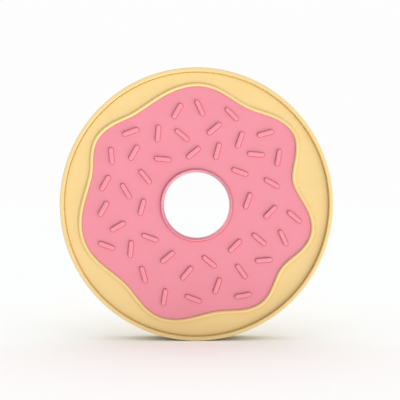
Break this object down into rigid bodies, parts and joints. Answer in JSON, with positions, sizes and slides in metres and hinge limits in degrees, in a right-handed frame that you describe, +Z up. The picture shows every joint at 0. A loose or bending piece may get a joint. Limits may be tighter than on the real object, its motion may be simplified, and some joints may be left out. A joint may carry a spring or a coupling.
{
  "type": "teething ring",
  "caption": "Flat silicone teething ring shaped like an iced ring doughnut, with a raised rim, wavy pink icing, raised sprinkles and a round hole for a finger.",
  "frame": {"origin": "the lowest point of the rim, midway through the thickness, with the ring standing upright on its rim", "axes": "+Z up; +Y along the axis of the hole, out of the plain back; the iced face looks along -Y; +X to the right as the iced face is seen"},
  "size_m": [0.085, 0.01, 0.085],
  "materials": {
    "biscuit_silicone": "smooth satin silicone, biscuit colour",
    "icing_silicone": "smooth satin silicone, pink",
    "sprinkle_silicone": "smooth satin silicone, slightly lighter pink"
  },
  "bodies": {
    "root": {"biscuit": "biscuit_silicone", "icing": "icing_silicone", "sprinkle_01": "sprinkle_silicone", "sprinkle_02": "sprinkle_silicone", "sprinkle_03": "sprinkle_silicone", "sprinkle_04": "sprinkle_silicone", "sprinkle_05": "sprinkle_silicone", "sprinkle_06": "sprinkle_silicone", "sprinkle_07": "sprinkle_silicone", "sprinkle_08": "sprinkle_silicone", "sprinkle_09": "sprinkle_silicone", "sprinkle_10": "sprinkle_silicone", "sprinkle_11": "sprinkle_silicone", "sprinkle_12": "sprinkle_silicone", "sprinkle_13": "sprinkle_silicone", "sprinkle_14": "sprinkle_silicone", "sprinkle_15": "sprinkle_silicone", "sprinkle_16": "sprinkle_silicone", "sprinkle_17": "sprinkle_silicone", "sprinkle_18": "sprinkle_silicone", "sprinkle_19": "sprinkle_silicone", "sprinkle_20": "sprinkle_silicone", "sprinkle_21": "sprinkle_silicone", "sprinkle_22": "sprinkle_silicone", "sprinkle_23": "sprinkle_silicone", "sprinkle_24": "sprinkle_silicone", "sprinkle_25": "sprinkle_silicone", "sprinkle_26": "sprinkle_silicone", "sprinkle_27": "sprinkle_silicone", "sprinkle_28": "sprinkle_silicone", "sprinkle_29": "sprinkle_silicone", "sprinkle_30": "sprinkle_silicone", "sprinkle_31": "sprinkle_silicone", "sprinkle_32": "sprinkle_silicone", "sprinkle_33": "sprinkle_silicone", "sprinkle_34": "sprinkle_silicone", "sprinkle_35": "sprinkle_silicone", "sprinkle_36": "sprinkle_silicone", "sprinkle_37": "sprinkle_silicone", "sprinkle_38": "sprinkle_silicone", "sprinkle_39": "sprinkle_silicone", "sprinkle_40": "sprinkle_silicone", "sprinkle_41": "sprinkle_silicone", "sprinkle_42": "sprinkle_silicone", "sprinkle_43": "sprinkle_silicone"}
  },
  "joints": []
}
